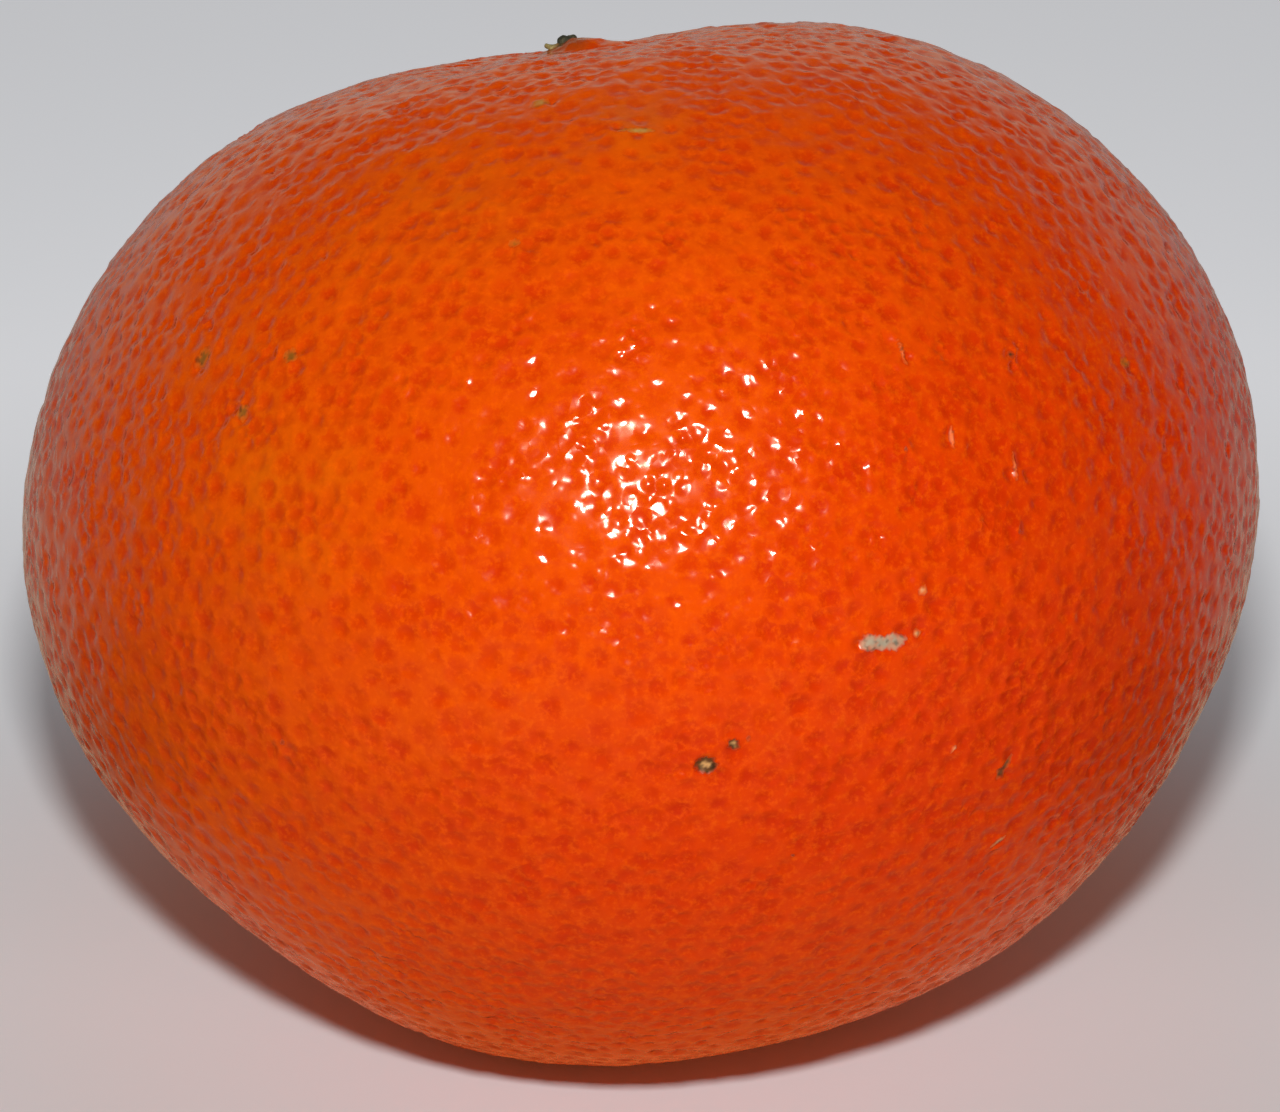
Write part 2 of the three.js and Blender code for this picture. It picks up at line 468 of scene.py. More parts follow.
def floor_finish(settings):
    """A pale matt floor that the peel mirrors only dimly in front of the fruit and beside it."""
    finish = Finish(bpy.data.materials.new("pale floor"))
    finish.owner.cycles.emission_sampling = "NONE"
    places = finish.places()
    back = finish.parts(places)[1]
    away = finish.length(places)
    facing = finish.math("DIVIDE", back, away)
    mirrored = finish.node("LightPath").outputs["Is Glossy Ray"]
    dim = finish.math("MULTIPLY", mirrored, finish.ramp(facing, MIRROR_START, MIRROR_END, 1.0, 0.0))
    near = finish.ramp(away, BOUNCE_START, BOUNCE_END, 1.0, 0.0)

    # painted shade in the floor's colour, darker in front of the fruit
    seen = finish.ramp(back, FRONT_END, FRONT_START, PAINTED_FRONT_SHADE, 1.0)
    seen = finish.scale(tuple(settings.floor_colour), seen)
    beside = finish.mix(finish.ramp(facing, BESIDE_START, BESIDE_END), MIRROR_NEAR, MIRROR_BESIDE)
    dim_colour = finish.mix(near, MIRROR_FAR, beside)
    glow = floor_glow(finish, away, mirrored, dim)
    return finish.surface(
        {
            "Base Color": finish.mix(dim, finish.mix(mirrored, seen, MIRROR_BEHIND), dim_colour),
            "Roughness": 0.55,
            "Specular IOR Level": 0.0,
            "Normal": finish.bump(finish.noise(places, FLOOR_GRAIN, detail=4.0), FLOOR_GRAIN_DEPTH),
            "Emission Color": finish.mix(near, GLOW_COLOUR, BOUNCE_COLOUR),
            "Emission Strength": finish.math("MULTIPLY_ADD", near, BOUNCE, glow),
        }
    )


# ---------------------------------------------------------------- the peel

GLAND_LEVEL = 6  # an icosphere of this level has about ten thousand points
GLAND_SHARE = 0.88  # how many of them become glands
GLAND_JITTER = 0.65  # how far a gland strays before the glands spread out, in spacings
GLAND_ROUNDS = 3  # of spreading out
GLAND_CUTS = 2  # of each edge between two glands
GLAND_RADIUS = 0.58 * MM
GLAND_SIZES = (0.7, 1.3)  # least and most, in gland radii
GLAND_DEPTHS = (0.4, 1.3)  # of the gland depth in the settings
GLAND_TONES = (0.15, 1)  # how strong the colour over a gland is
GLAND_WOBBLE = 0.24 * MM
WOBBLE_SIZE = 0.8 * MM
SMOOTHING_ROUNDS = 4
FINE_ROUNDS = 2  # smoothing of the fine mesh, before it gets its relief
MARK_REACH = 1.3  # where the mesh is finer for a blemish, in its own half lengths
MARK_MARGINS = (0.5 * MM, 0.2 * MM)  # round that, with one split of the mesh for each

# Relief between the glands, as shares of the pebble height in the settings
PEBBLE_SIZE = 2.2 * MM
PEBBLE_SHARE = 0.8
CROWN_PEBBLE_SHARE = 2  # more of it round the crown
GRAIN_SIZE = 0.9 * MM
GRAIN_SHARE = 0.8
SLOW_SIZE = 5 * MM
SLOW_SHARE = 0.9
CROWN_PIT_SHARE = 0.2  # how much deeper the pits are at the crown
CROWN_SPREAD = math.radians(50)  # how far the crown's look reaches down the sides

# Round the calyx
CROWN_REACH = 6 * MM  # here the mesh is finer and follows the frame closely
SMOOTH_RADIUS = 1.2 * MM  # here the peel has no relief
SMOOTH_FADE = 2.5 * MM
COLLAR_HEIGHT = 0.5 * MM  # the peel swells a little under the calyx
COLLAR_REACH = 1.25 * MM
KNOB = CALYX_BASE + CROWN_TURN @ Vector((0.7, -0.8, 0)) * MM  # beside the stem
KNOB_HEIGHT = 0.34 * MM
KNOB_REACH = 0.95 * MM
DENT = CALYX_BASE + CROWN_TURN @ Vector((1.65, -0.9, 0.5)) * MM  # levels the lump of the frame
DENT_DEPTH = 0.18 * MM
DENT_REACH = 0.65 * MM

# Kinds of blemish: colour of the core, colour of the rim, height in mm
SCAR = ((0.34, 0.27, 0.18), (0.44, 0.21, 0.12), 0.05)
PIT = ((0.50, 0.25, 0.08), (0.10, 0.032, 0.004), -0.13)
BRUISE = ((0.17, 0.05, 0.012), (0.40, 0.06, 0.002), -0.06)
STRAW = ((0.66, 0.30, 0.13), (0.66, 0.13, 0.02), 0.03)
DOT = ((0.26, 0.08, 0.003), (0.52, 0.09, 0.001), -0.03)
SPECK = ((0.10, 0.02, 0.002), (0.40, 0.035, 0.0), 0.0)
STREAK = ((0.74, 0.16, 0.05), (0.72, 0.10, 0.01), 0.03)
OLIVE = ((0.45, 0.22, 0.05), (0.50, 0.13, 0.003), 0.03)

# Blemishes: azimuth and elevation in degrees from the fruit's middle, half length and half width
# in mm, tilt in degrees, kind
MARKS = (
    (-70.4, 10.4, 0.46, 0.40, -7, SCAR),
    (-69.3, 10.2, 0.70, 0.36, -8, SCAR),
    (-68.1, 10.1, 0.55, 0.38, -7, SCAR),
    (-65.9, 10.5, 0.20, 0.20, 0, STRAW),
    (-84.5, 0.5, 0.55, 0.42, 10, PIT),
    (-82.1, 2.3, 0.26, 0.30, 0, PIT),
    (-80.9, 2.9, 0.14, 0.12, 0, SPECK),
    (-56.6, -4.7, 0.30, 0.38, -20, BRUISE),
    (-56.1, -4.0, 0.18, 0.48, -35, BRUISE),
    (-54.8, -12.9, 0.45, 0.14, 32, STRAW),
    (-65.2, 14.1, 0.22, 0.22, 0, STRAW),
    (-62.0, -1.0, 0.09, 0.25, -30, STRAW),
    (-62.7, 34.0, 0.10, 0.60, 0, STREAK),
    (-60.0, 26.0, 0.10, 0.50, -10, STREAK),
    (-54.0, 22.5, 0.10, 0.60, -5, STREAK),
    (-113.7, 65.3, 0.42, 0.42, 0, OLIVE),
    (-90.2, 60.2, 0.85, 0.20, 0, OLIVE),
    (-50.5, 31.6, 0.2, 0.2, 0, SPECK),
    (-35.5, 27.4, 0.3, 0.3, 0, DOT),
    (-105.9, 46.0, 0.3, 0.3, 0, DOT),
    (-128.2, 32.1, 0.40, 0.36, 0, DOT),
    (-131.3, 26.3, 0.38, 0.42, 0, DOT),
    (-140.0, 29.5, 0.45, 0.55, 0, DOT),
    (-122.2, -1.1, 0.14, 0.14, 0, SPECK),
    (-65.0, 25.8, 0.12, 0.12, 0, SPECK),
    (-54.9, 17.1, 0.12, 0.12, 0, SPECK),
    (-102.0, 4.1, 0.12, 0.12, 0, SPECK),
    (-76.3, -9.7, 0.12, 0.12, 0, SPECK),
    (38.0, 18.0, 0.50, 0.35, 20, PIT),
    (62.0, -8.0, 0.3, 0.3, 0, DOT),
    (95.0, 30.0, 0.90, 0.25, 25, SCAR),
    (121.0, 4.0, 0.3, 0.3, 0, DOT),
    (160.0, 15.0, 0.35, 0.30, 0, BRUISE),
)

# How a blemish is drawn: distances from its middle are in its own half lengths
CORE_EDGE = 0.3
RIM_EDGE = 0.75
EDGE_FADE = 0.35
RAGGED_SIZES = (0.35 * MM, 0.15 * MM)
RAGGED_SHARES = (0.35, 0.3)
GRIT_SIZE = 0.2 * MM
GRIT_DARKNESS = 0.55
RELIEF_LOSS = 0.6  # how much of the peel's relief a blemish hides

# Tints where the fruit ripened unevenly: azimuth, elevation, reach in mm, shares of yellow and red
TINTS = (
    (-124.0, 20.0, 7.0, 0.40, 0.0),
    (-90.0, 61.0, 4.0, 0.50, 0.0),
    (-118.0, 52.0, 9.0, 0.25, 0.0),
    (-150.0, 15.0, 28.0, 0.08, 0.0),
    (80.0, 20.0, 9.0, 0.35, 0.0),
    (20.0, 40.0, 8.0, 0.30, 0.0),
    (-25.0, 15.0, 34.0, 0.0, 0.75),
    (-72.0, -5.0, 30.0, 0.0, 0.5),
    (-88.0, -28.0, 24.0, 0.0, 0.35),
)

# Shares of the pale colour: everywhere, at the crown, and in patches of two sizes. At the crown it is
# partly the peel's own paler colour and partly painted light that makes the top lighter
PALE_SHARE = 0.2
CROWN_PALE_AND_PAINTED_LIGHT_SHARE = 0.45
PATCH_SIZES = (9 * MM, 3 * MM)
PATCH_SHARES = (0.3, 0.15)
TINT_MOTTLE_SIZE = 2.5 * MM  # of the yellow tints

# Darker brown round the calyx
CALYX_BROWN_SHARE = 0.85
CALYX_BROWN_RADIUS = 1.0 * MM
CALYX_BROWN_FADE = 1.1 * MM
CALYX_BROWN_RAGGEDNESS = 0.5 * MM
CALYX_BROWN_LUMP_SIZE = 1.2 * MM


def direction(azimuth, elevation):
    """The direction at an azimuth and elevation, both in degrees."""
    a, e = math.radians(azimuth), math.radians(elevation)
    return Vector((math.cos(e) * math.cos(a), math.cos(e) * math.sin(a), math.sin(e)))


def frame_surface():
    """The frame's fruit as one closed surface, to lay the peel on."""
    bm = bmesh.new()
    bm.from_mesh(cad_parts["fruit"].data)
    bmesh.ops.remove_doubles(bm, verts=bm.verts, dist=WELD)
    surface = BVHTree.FromBMesh(bm)
    bm.free()
    return surface


def join_points(bm):
    """Joins the points of a ball into one skin of triangles."""
    bmesh.ops.delete(bm, geom=bm.edges[:], context="EDGES_FACES")
    bmesh.ops.convex_hull(bm, input=bm.verts[:])


def smooth(bm, rounds):
    for _ in range(rounds):
        bmesh.ops.smooth_vert(
            bm, verts=bm.verts[:], factor=0.5, use_axis_x=True, use_axis_y=True, use_axis_z=True
        )


def scattered_ball(chance):
    """A ball of radius 1 whose points lie evenly, but in no pattern, as glands do."""
    bm = bmesh.new()
    bmesh.ops.create_icosphere(bm, subdivisions=GLAND_LEVEL, radius=1.0)
    spare = [vert for vert in bm.verts if chance.uniform() > GLAND_SHARE]
    bmesh.ops.delete(bm, geom=spare, context="VERTS")
    spacing = math.sqrt(4 * math.pi / len(bm.verts))
    for vert in bm.verts:
        vert.co += Vector(chance.normal(size=3)) * spacing * GLAND_JITTER
        vert.co.normalize()
    for _ in range(GLAND_ROUNDS):
        join_points(bm)
        smooth(bm, 1)
        for vert in bm.verts:
            vert.co.normalize()
    join_points(bm)
    return bm


def on_surface(surface, direction):
    """The place on the surface straight out from the fruit's middle."""
    place = surface.ray_cast(MIDDLE, direction)[0]
    if place is None:
        raise RuntimeError("the frame's fruit is not closed round its middle")
    return place


def vertex_places(bm):
    return np.array([vert.co for vert in bm.verts])


def away_from(places, middle):
    return np.linalg.norm(places - np.array(middle), axis=1)


def smooth_step(share):
    share = np.clip(share, 0, 1)
    return share * share * (3 - 2 * share)


def bell(distance, reach, power=2):
    """1 in the middle, falling smoothly to about a third one reach away."""
    return np.exp(-((distance / reach) ** power))


def near_crown(places):
    """1 at the calyx, falling to 0 where the crown's finer mesh ends."""
    return smooth_step(1 - away_from(places, CALYX_BASE) / CROWN_REACH)


def near_marks(places, surface, margin):
    """Whether each place is on a blemish or within a margin round it."""
    near = np.zeros(len(places), bool)
    for azimuth, elevation, length, width, _, _ in MARKS:
        middle = on_surface(surface, direction(azimuth, elevation))
        near |= away_from(places, middle) < MARK_REACH * max(length, width) * MM + margin
    return near


def refine(bm, chosen):
    """Splits each edge whose ends are both chosen."""
    bm.verts.index_update()
    edges = [edge for edge in bm.edges if all(chosen[vert.index] for vert in edge.verts)]
    bmesh.ops.subdivide_edges(bm, edges=edges, cuts=1, use_grid_fill=True)
    bmesh.ops.triangulate(bm, faces=[face for face in bm.faces if len(face.verts) > 3])


def tree_of(places):
    tree = KDTree(len(places))
    for index, place in enumerate(places):
        tree.insert(place, index)
    tree.balance()
    return tree


def noise_at(places, size, seed):
    """Smooth noise from about -1 to 1, whose lumps are about size across."""
    shift = Vector((seed * 17.3, seed * 5.1, seed * 9.7))
    return np.array([noise.noise(Vector(place) / size + shift) for place in places])


def wobbles(places):
    """Small shifts that make the pits less round. Without a seed they would differ from run to run."""
    noise.seed_set(SEED)
    return GLAND_WOBBLE * np.array([noise.noise_vector(Vector(place) / WOBBLE_SIZE) for place in places])


def crown_shares(places):
    """1 on the crown, falling smoothly down the sides, by the angle from the fruit's middle."""
    outward = places - np.array(MIDDLE)
    outward /= np.linalg.norm(outward, axis=1)[:, None]
    return bell(np.arccos(np.clip(outward @ np.array(CROWN_AXIS), -1, 1)), CROWN_SPREAD)


def collar(away):
    """How far the peel swells out, by the distance from the stem's middle."""
    return COLLAR_HEIGHT * bell(away, COLLAR_REACH)


def peel_relief(places, distances, sizes, depths, settings):
    """How far each place of the peel stands out: gland pits, pebbles and slow unevenness."""
    crown = crown_shares(places)
    pits = -settings.gland_depth * depths * (1 - smooth_step(distances / sizes))
    pebbles = (PEBBLE_SHARE + CROWN_PEBBLE_SHARE * crown) * noise_at(places, PEBBLE_SIZE, 1)
    pebbles += GRAIN_SHARE * noise_at(places, GRAIN_SIZE, 2)
    pebbles += SLOW_SHARE * noise_at(places, SLOW_SIZE, 3)
    relief = (1 + CROWN_PIT_SHARE * crown) * pits + settings.pebble_height * pebbles
    away = away_from(places, CALYX_BASE)
    knob = KNOB_HEIGHT * bell(away_from(places, KNOB), KNOB_REACH, power=4)
    knob -= DENT_DEPTH * bell(away_from(places, DENT), DENT_REACH)
    return relief * smooth_step((away - SMOOTH_RADIUS) / SMOOTH_FADE) + collar(away) + knob


def marks_at(places, surface):
    """Colour and share of the blemish at each place, and how far it stands out."""
    colours = np.zeros((len(places), 4))
    heights = np.zeros(len(places))
    for azimuth, elevation, length, width, tilt, (core, rim, height) in MARKS:
        outward = direction(azimuth, elevation)
        middle = on_surface(surface, outward)
        turn = outward.to_track_quat("Z", "Y").to_matrix() @ Matrix.Rotation(math.radians(tilt), 3, "Z")
        reach = max(length, width)
        near = np.flatnonzero(away_from(places, middle) < 2 * reach * MM)
        local = (places[near] - np.array(middle)) @ np.array(turn)
        local /= np.array((length, width, reach)) * MM
        from_middle = np.linalg.norm(local, axis=1)
        for seed, (size, ragged) in enumerate(zip(RAGGED_SIZES, RAGGED_SHARES), start=4):
            from_middle += ragged * noise_at(places[near], size, seed)
        share = 1 - smooth_step((from_middle - RIM_EDGE) / EDGE_FADE)
        inner = 1 - smooth_step((from_middle - CORE_EDGE) / EDGE_FADE)
        grit = smooth_step((noise_at(places[near], GRIT_SIZE, 6) - 0.15) / 0.3)
        painted = np.outer(inner, core) + np.outer(1 - inner, rim)
        painted *= (1 - GRIT_DARKNESS * grit)[:, None]
        stronger = share > colours[near, 3]
        colours[near[stronger], :3] = painted[stronger]
        colours[near[stronger], 3] = share[stronger]
        heights[near[stronger]] = (height * MM * share)[stronger]
    return colours, heights


def tints_at(places, surface):
    """Shares of pale, yellow, red and the brown round the calyx at each place."""
    # paler towards the crown: partly the peel's own colour, partly painted light on the top
    pale = PALE_SHARE + CROWN_PALE_AND_PAINTED_LIGHT_SHARE * crown_shares(places)
    for seed, (size, share) in enumerate(zip(PATCH_SIZES, PATCH_SHARES), start=7):
        pale += share * noise_at(places, size, seed)
    yellow = np.zeros(len(places))
    red = np.zeros(len(places))
    for azimuth, elevation, reach, yellow_share, red_share in TINTS:
        away = away_from(places, on_surface(surface, direction(azimuth, elevation)))
        near = 1 - smooth_step(away / (reach * MM))
        yellow += yellow_share * near
        red += red_share * near
    yellow *= 1 + noise_at(places, TINT_MOTTLE_SIZE, 9)
    by_calyx = away_from(places, CALYX_BASE) + CALYX_BROWN_RAGGEDNESS * noise_at(places, CALYX_BROWN_LUMP_SIZE, 10)
    calyx_brown = CALYX_BROWN_SHARE * (1 - smooth_step((by_calyx - CALYX_BROWN_RADIUS) / CALYX_BROWN_FADE))
    return np.clip(np.stack((pale, yellow, red, calyx_brown), axis=1), 0, 1)


def make_fine(bm, surface):
    """Splits the mesh finely everywhere, more finely where the crown and the blemishes are."""
    bmesh.ops.subdivide_edges(bm, edges=bm.edges[:], cuts=GLAND_CUTS, use_grid_fill=True)
    refine(bm, near_crown(vertex_places(bm)) > 0)
    for margin in MARK_MARGINS:
        refine(bm, near_marks(vertex_places(bm), surface, margin))
    smooth(bm, FINE_ROUNDS)
    for vert, share in zip(bm.verts, near_crown(vertex_places(bm))):
        if share > 0:
            vert.co = vert.co.lerp(on_surface(surface, vert.co - MIDDLE), min(1, 2 * float(share)))
    bm.normal_update()


def make_peel(settings, surface):
    """The peel, laid on the frame's fruit, with a pit over each gland."""
    chance = np.random.default_rng(SEED)
    bm = scattered_ball(chance)
    for vert in bm.verts:
        vert.co = on_surface(surface, vert.co)
    smooth(bm, SMOOTHING_ROUNDS)
    bmesh.ops.recalc_face_normals(bm, faces=bm.faces[:])
    glands = vertex_places(bm)
    sizes = GLAND_RADIUS * chance.uniform(*GLAND_SIZES, len(glands))
    depths = chance.uniform(*GLAND_DEPTHS, len(glands))
    tones = chance.uniform(*GLAND_TONES, len(glands))
    make_fine(bm, surface)
    tree = tree_of(glands)
    places = vertex_places(bm)
    shifted = places + wobbles(places)
    found = [tree.find(place)[1:] for place in shifted]
    nearest = np.array([index for index, _ in found])
    distances = np.array([distance for _, distance in found])
    relief = peel_relief(places, distances, sizes[nearest], depths[nearest], settings)
    marks, heights = marks_at(places, surface)
    relief = relief * (1 - RELIEF_LOSS * marks[:, 3]) + heights
    for vert, height in zip(bm.verts, relief):
        vert.co += vert.normal * float(height)
        vert.co.z = max(vert.co.z, FRUIT_LOW.z)
    peel = finished_piece(PEEL, bm)
    mark_glands(peel.data, shifted, glands, sizes, tones, tree)
    add_colours(peel.data, "mark", "POINT", marks)
    add_colours(peel.data, "tint", "POINT", tints_at(places, surface))
    return peel


def mark_glands(mesh, places, glands, sizes, tones, tree):
    """Tells the finish, at each face's corners, where they lie from their gland, in gland radii."""
    corners = np.empty(len(mesh.loops), np.int32)
    mesh.loops.foreach_get("vertex_index", corners)
    corners = corners.reshape(-1, 3)
    nearest = np.array([tree.find(place)[1] for place in places[corners].mean(axis=1)])
    values = np.ones((len(corners), 3, 4))
    values[:, :, :3] = (places[corners] - glands[nearest][:, None, :]) / sizes[nearest][:, None, None]
    values[:, :, 3] = tones[nearest][:, None]
    add_colours(mesh, "gland", "CORNER", values)


def add_colours(mesh, name, domain, values):
    attribute = mesh.attributes.new(name, "FLOAT_COLOR", domain)
    attribute.data.foreach_set("color", values.astype(np.float32).ravel())


def finished_piece(name, bm):
    """Puts a shaped bmesh into the scene as one smooth piece."""
    mesh = bpy.data.meshes.new(name)
    bm.to_mesh(mesh)
    bm.free()
    mesh.shade_smooth()
    piece = bpy.data.objects.new(name, mesh)
    bpy.context.scene.collection.objects.link(piece)
    return piece


# ---------------------------------------------------------------- calyx and stem

SEPAL_CUTS = 12  # faces round each sepal
SEPAL_LENGTHS = (0.72, 0.85, 0.7, 0.64, 0.62)  # of the radius, anticlockwise from the right
SEPAL_CURLS = (0.12 * MM, 0.2 * MM, 0.42 * MM, 0.05 * MM, 0.12 * MM)  # rise of each tip
SEPAL_NOTCH = 0.42  # where two sepals meet, as a share of the radius
SEPAL_BLUNTNESS = 1.7  # 1 gives a pointed sepal, and a higher value a blunter one
SEPAL_WRINKLE = 0.12 * MM
CALYX_RINGS = 6
CALYX_HOLE = 0.4 * MM
CALYX_GAP = 0.02 * MM  # between the peel and the underside of a sepal
CALYX_RIM = 0.15 * MM  # how far the sepals rise against the stem
ABOVE_CROWN = 5 * MM  # well over the peel, to look down at it from

ROUNDING_LEVELS = 2  # of the calyx and the stem

# The stub's outline: rings up its side, then over the woody ring and down into the core, with
# radii and heights as shares of the stub's own
STEM_SIDES = 24
STEM_FOOT = 1.25
STEM_SIDE_RADII = (1.2, 1.08, 1.02, 0.96, 0.8)
STEM_SIDE_RISE = 1.3  # 1 spaces the rings evenly, and a higher value puts them nearer the top
STEM_CORE = ((0.5, 1.06), (0.25, 1.0))
STEM_RIDGES = 0.16
STEM_RAGGEDNESS = 0.09
STEM_RAGGED_FROM = 0.7  # the height where the ragged top begins


def crown_place(surface, x, y, height):
    """A place over the crown: x and y across from the stem's middle, height above the peel."""
    above = CALYX_BASE + CROWN_TURN @ Vector((x, y, ABOVE_CROWN))
    place = surface.ray_cast(above, -CROWN_AXIS)[0]
    return place + CROWN_AXIS * height


def ring_out(bm, edges, factor):
    """Extrudes a ring of edges and widens or narrows the new ring."""
    made = bmesh.ops.extrude_edge_only(bm, edges=edges)["geom"]
    verts = [item for item in made if isinstance(item, bmesh.types.BMVert)]
    bmesh.ops.scale(bm, vec=(factor, factor, 1), verts=verts)
    return [item for item in made if isinstance(item, bmesh.types.BMEdge) and item.is_boundary]


def sepal_place(settings, surface, angle, share):
    """A place on the sepals: angle round the stem, share of the way out from the hole."""
    sepal = angle * settings.sepals / (2 * math.pi)
    index = int(sepal) % settings.sepals
    across = 2 * (sepal - int(sepal)) - 1  # -1 to 1 over one sepal
    length = SEPAL_LENGTHS[index % len(SEPAL_LENGTHS)]
    outline = SEPAL_NOTCH + (length - SEPAL_NOTCH) * (1 - abs(across) ** SEPAL_BLUNTNESS)
    reach = CALYX_HOLE + (settings.radius * outline - CALYX_HOLE) * share
    curl = SEPAL_CURLS[index % len(SEPAL_CURLS)] * share**2 * (1 - abs(across))
    wrinkle = SEPAL_WRINKLE * share * noise.noise(Vector((across * 3 + index * 5, share * 1.5, 0)))
    height = CALYX_GAP + float(collar(reach)) + curl + wrinkle + CALYX_RIM * (1 - share) ** 2
    return crown_place(surface, reach * math.cos(angle), reach * math.sin(angle), height)


def make_calyx(settings, surface):
    """A thin star of sepals round the stem, wrinkled and curled as it dries."""
    bm = bmesh.new()
    bmesh.ops.create_circle(bm, segments=settings.sepals * SEPAL_CUTS, radius=1.0)
    edges = bm.edges[:]
    for ring in range(CALYX_RINGS):
        edges = ring_out(bm, edges, (ring + 2) / (ring + 1))
    for vert in bm.verts:
        angle = math.atan2(vert.co.y, vert.co.x) % (2 * math.pi)
        share = (vert.co.xy.length - 1) / CALYX_RINGS
        vert.co = sepal_place(settings, surface, angle, share)
    bmesh.ops.recalc_face_normals(bm, faces=bm.faces[:])
    if sum((face.normal for face in bm.faces), Vector()).dot(CROWN_AXIS) < 0:
        bmesh.ops.reverse_faces(bm, faces=bm.faces[:])
    bmesh.ops.solidify(bm, geom=bm.faces[:], thickness=settings.thickness)
    bmesh.ops.recalc_face_normals(bm, faces=bm.faces[:])
    calyx = finished_piece(CALYX, bm)
    round_off(calyx)
    return calyx


def stem_outline():
    """Radius and height of each ring above the foot."""
    count = len(STEM_SIDE_RADII)
    for ring, radius in enumerate(STEM_SIDE_RADII, start=1):
        yield radius, 1 - (1 - ring / count) ** STEM_SIDE_RISE
    yield from STEM_CORE


def make_stem(settings):
    """The stub that the stem broke off at: a woody ring round a sunken ragged core."""
    chance = np.random.default_rng(SEED + 2)
    bm = bmesh.new()
    bmesh.ops.create_circle(bm, cap_ends=True, segments=STEM_SIDES, radius=STEM_FOOT)
    edges = [edge for edge in bm.edges if edge.is_boundary]
    heights = {vert: 0.0 for vert in bm.verts}
    for radius, height in stem_outline():
        width = edges[0].verts[0].co.xy.length
        edges = ring_out(bm, edges, radius / width)
        for vert in {vert for edge in edges for vert in edge.verts}:
            heights[vert] = height
    bmesh.ops.holes_fill(bm, edges=edges, sides=0)
    for vert in bm.verts:
        height = heights[vert]
        ridge = 1 + STEM_RIDGES * noise.noise(vert.co * 1.5 + Vector((9, 0, height * 1.5)))
        if height > STEM_RAGGED_FROM:
            height += STEM_RAGGEDNESS * chance.uniform(-1, 1)
        across = vert.co * ridge * settings.radius
        vert.co = CALYX_BASE + CROWN_TURN @ Vector((across.x, across.y, height * settings.height))
    bmesh.ops.recalc_face_normals(bm, faces=bm.faces[:])
    stem = finished_piece(STEM, bm)
    round_off(stem)
    return stem


def round_off(piece):
    """Rounds a piece with a live subdivision surface."""
    modifier = piece.modifiers.new("rounding", "SUBSURF")
    modifier.levels = ROUNDING_LEVELS
    modifier.render_levels = ROUNDING_LEVELS


# ---------------------------------------------------------------- the stage

SENSOR_WIDTH = 36.0
FRAME_WIDTH = 64 * MM  # how much the picture's width takes in, at the fruit's middle
AIM = Vector((0, 0, 24.1 * MM))
CLIP_START = 10 * MM
CLIP_END = 20.0

FLOOR_RADIUS = 4.0
FLOOR_SIDES = 96

# The front lamps stand at one place: the key lamp gives the light and its shadow, and only the
# gloss mirrors the glint lamp
LAMP_ABOVE_CAMERA = 38 * MM
LAMP_SPREAD = math.radians(80)
KEY_SIZE = 14 * MM
KEY_WATTS = 0.1125
GLINT_WIDTH = 27 * MM
GLINT_HEIGHT = 31 * MM
GLINT_WATTS = 0.136
GLINT_COLOUR = (1.0, 0.92, 0.72)

BACK_LAMP_PLACE = Vector((0.0, 360.0, 290.0)) * MM
BACK_LAMP_SIZE = 300 * MM
BACK_LAMP_WATTS = 0.78

ROOM_LOW = 0.03  # what the room sheds on the scene from the walls
ROOM_HIGH = 0.11  # and from overhead
ROOM_HIGH_FROM = 0.9  # how far up overhead begins
ROOM_SEEN = 0.57  # how bright the room is to the camera
ROOM_MIRRORED = 0.5  # how bright it is in reflections, low behind the fruit
ROOM_MIRRORED_COLOUR = (1.0, 0.92, 0.7)
ROOM_DARK = 0.03  # and in reflections on the camera's side and overhead
ROOM_BEHIND = (0.1, 0.75)  # from dark to bright, by how far back a direction points
ROOM_TOP = (0.15, 0.7)  # from bright to dark, by how far up it points


def view_axes(settings):
    """Directions back to the camera, and up in the picture."""
    elevation = settings.view_elevation
    back = Vector((0, -math.cos(elevation), math.sin(elevation)))
    up = Vector((0, math.sin(elevation), math.cos(elevation)))
    return back, up


def make_camera(settings):
    back, _ = view_axes(settings)
    data = bpy.data.cameras.new("camera")
    data.sensor_width = SENSOR_WIDTH
    data.lens = SENSOR_WIDTH * settings.view_distance / FRAME_WIDTH
    data.clip_start = CLIP_START
    data.clip_end = CLIP_END
    camera = bpy.data.objects.new("camera", data)
    camera.location = AIM + back * settings.view_distance
    camera.rotation_euler = (-back).to_track_quat("-Z", "Y").to_euler()
    bpy.context.scene.collection.objects.link(camera)
    bpy.context.scene.camera = camera
    return camera


def make_lamp(name, place, width, height, watts, spread=math.pi):
    """A soft lamp that points at the middle of the fruit."""
    data = bpy.data.lights.new(name, "AREA")
    data.shape = "RECTANGLE"
    data.size = width
    data.size_y = height
    data.energy = watts
    data.spread = spread
    lamp = bpy.data.objects.new(name, data)
    lamp.location = place
    lamp.rotation_euler = (MIDDLE - place).to_track_quat("-Z", "Y").to_euler()
    bpy.context.scene.collection.objects.link(lamp)
    return lamp


def make_front_lamps(place):
    """One lamp for the light and its shadow, and one that only the gloss mirrors."""
    key = make_lamp("key lamp", place, KEY_SIZE, KEY_SIZE, KEY_WATTS, LAMP_SPREAD)
    key.visible_glossy = False
    glint = make_lamp("glint lamp", place, GLINT_WIDTH, GLINT_HEIGHT, GLINT_WATTS, LAMP_SPREAD)
    glint.visible_diffuse = False
    glint.data.color = GLINT_COLOUR


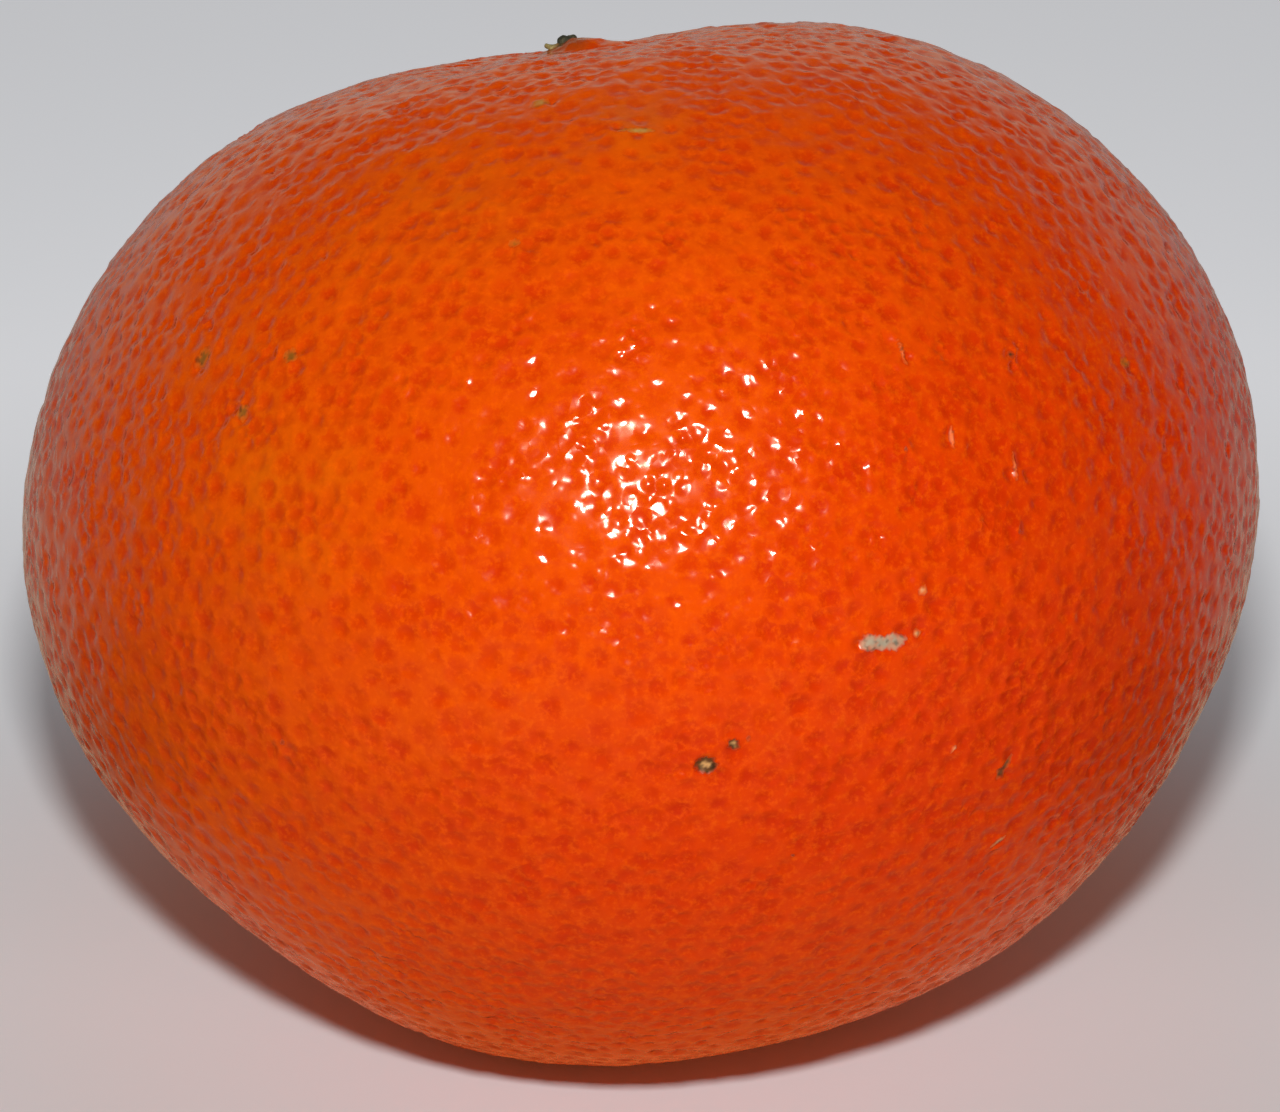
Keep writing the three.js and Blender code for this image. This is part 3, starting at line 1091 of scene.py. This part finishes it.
def make_back_lamp():
    """A wide lamp behind that lights the fruit alone, and that the fruit doesn't mirror."""
    lamp = make_lamp("back lamp", BACK_LAMP_PLACE, BACK_LAMP_SIZE, BACK_LAMP_SIZE, BACK_LAMP_WATTS)
    lamp.visible_glossy = False
    lit = bpy.data.collections.new("lit from behind")
    for name in (PEEL, CALYX, STEM):
        lit.objects.link(bpy.data.objects[name])
    lamp.light_linking.receiver_collection = lit


def make_floor(settings):
    bm = bmesh.new()
    bmesh.ops.create_circle(bm, cap_ends=True, segments=FLOOR_SIDES, radius=FLOOR_RADIUS)
    floor = finished_piece("floor", bm)
    floor.data.materials.append(floor_finish(settings))


def make_world():
    """A room that the peel mirrors as pale low behind the fruit, and as dim elsewhere."""
    bpy.context.scene.world = bpy.data.worlds.new("room")
    room = Finish(bpy.context.scene.world)
    room.owner.cycles.sampling_method = "NONE"
    paths = room.node("LightPath").outputs
    _, back, up = room.parts(room.node("TexCoord").outputs["Generated"])
    pale = room.math("MULTIPLY", room.ramp(back, *ROOM_BEHIND), room.ramp(up, *ROOM_TOP, 1.0, 0.0))
    mirrored = room.math("MULTIPLY_ADD", pale, ROOM_MIRRORED - ROOM_DARK, ROOM_DARK)
    shed = room.ramp(up, 0.0, ROOM_HIGH_FROM, ROOM_LOW, ROOM_HIGH)
    seen = room.blend(paths["Is Camera Ray"], shed, ROOM_SEEN)
    strength = room.blend(paths["Is Glossy Ray"], seen, mirrored)
    colour = room.mix(paths["Is Glossy Ray"], (1.0, 1.0, 1.0), ROOM_MIRRORED_COLOUR)
    background = room.node("Background", {"Color": colour, "Strength": strength})
    room.node("OutputWorld", {"Surface": background.outputs[0]})


# ---------------------------------------------------------------- operators


class MANDARIN_OT_make_peel(bpy.types.Operator):
    """Lay the pebbled peel on the frame's fruit"""

    bl_idname = "mandarin.make_peel"
    bl_label = "Peel"

    def execute(self, context):
        settings = context.scene.mandarin_peel
        surface = frame_surface()
        peel = make_peel(settings, surface)
        peel.data.materials.append(peel_finish(settings))
        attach(peel, "root")
        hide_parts("fruit")
        return {"FINISHED"}


class MANDARIN_OT_make_calyx(bpy.types.Operator):
    """Set the dried calyx on the crown"""

    bl_idname = "mandarin.make_calyx"
    bl_label = "Calyx"

    def execute(self, context):
        calyx = make_calyx(context.scene.mandarin_calyx, frame_surface())
        calyx.data.materials.append(sepal_finish())
        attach(calyx, "root")
        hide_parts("calyx")
        return {"FINISHED"}


class MANDARIN_OT_make_stem(bpy.types.Operator):
    """Stand the stub of stem in the calyx"""

    bl_idname = "mandarin.make_stem"
    bl_label = "Stem"

    def execute(self, context):
        stem = make_stem(context.scene.mandarin_stem)
        stem.data.materials.append(stem_finish())
        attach(stem, "root")
        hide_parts("stem_stub")
        return {"FINISHED"}


class MANDARIN_OT_make_stage(bpy.types.Operator):
    """Make the floor, the lamps and the camera"""

    bl_idname = "mandarin.make_stage"
    bl_label = "Stage"

    def execute(self, context):
        settings = context.scene.mandarin_stage
        camera = make_camera(settings)
        _, up = view_axes(settings)
        make_front_lamps(camera.location + up * LAMP_ABOVE_CAMERA)
        make_back_lamp()
        make_floor(settings)
        make_world()
        context.scene.view_settings.view_transform = "Standard"
        return {"FINISHED"}


class MANDARIN_PT_build(bpy.types.Panel):
    bl_idname = "MANDARIN_PT_build"
    bl_label = "Mandarin"
    bl_space_type = "VIEW_3D"
    bl_region_type = "UI"
    bl_category = "Mandarin"

    def draw(self, context):
        layout = self.layout
        for settings, operator in (
            (context.scene.mandarin_peel, "mandarin.make_peel"),
            (context.scene.mandarin_calyx, "mandarin.make_calyx"),
            (context.scene.mandarin_stem, "mandarin.make_stem"),
            (context.scene.mandarin_stage, "mandarin.make_stage"),
        ):
            box = layout.box()
            for name in settings.bl_rna.properties.keys():
                if name not in ("rna_type", "name"):
                    box.prop(settings, name)
            box.operator(operator)


CLASSES = (
    PeelSettings,
    CalyxSettings,
    StemSettings,
    StageSettings,
    MANDARIN_OT_make_peel,
    MANDARIN_OT_make_calyx,
    MANDARIN_OT_make_stem,
    MANDARIN_OT_make_stage,
    MANDARIN_PT_build,
)


def register():
    for cls in CLASSES:
        bpy.utils.register_class(cls)
    bpy.types.Scene.mandarin_peel = PointerProperty(type=PeelSettings)
    bpy.types.Scene.mandarin_calyx = PointerProperty(type=CalyxSettings)
    bpy.types.Scene.mandarin_stem = PointerProperty(type=StemSettings)
    bpy.types.Scene.mandarin_stage = PointerProperty(type=StageSettings)


def unregister():
    del bpy.types.Scene.mandarin_stage
    del bpy.types.Scene.mandarin_stem
    del bpy.types.Scene.mandarin_calyx
    del bpy.types.Scene.mandarin_peel
    for cls in reversed(CLASSES):
        bpy.utils.unregister_class(cls)


def main():
    register()
    bpy.ops.mandarin.make_peel()
    bpy.ops.mandarin.make_calyx()
    bpy.ops.mandarin.make_stem()
    bpy.ops.mandarin.make_stage()


if __name__ == "__main__":
    main()
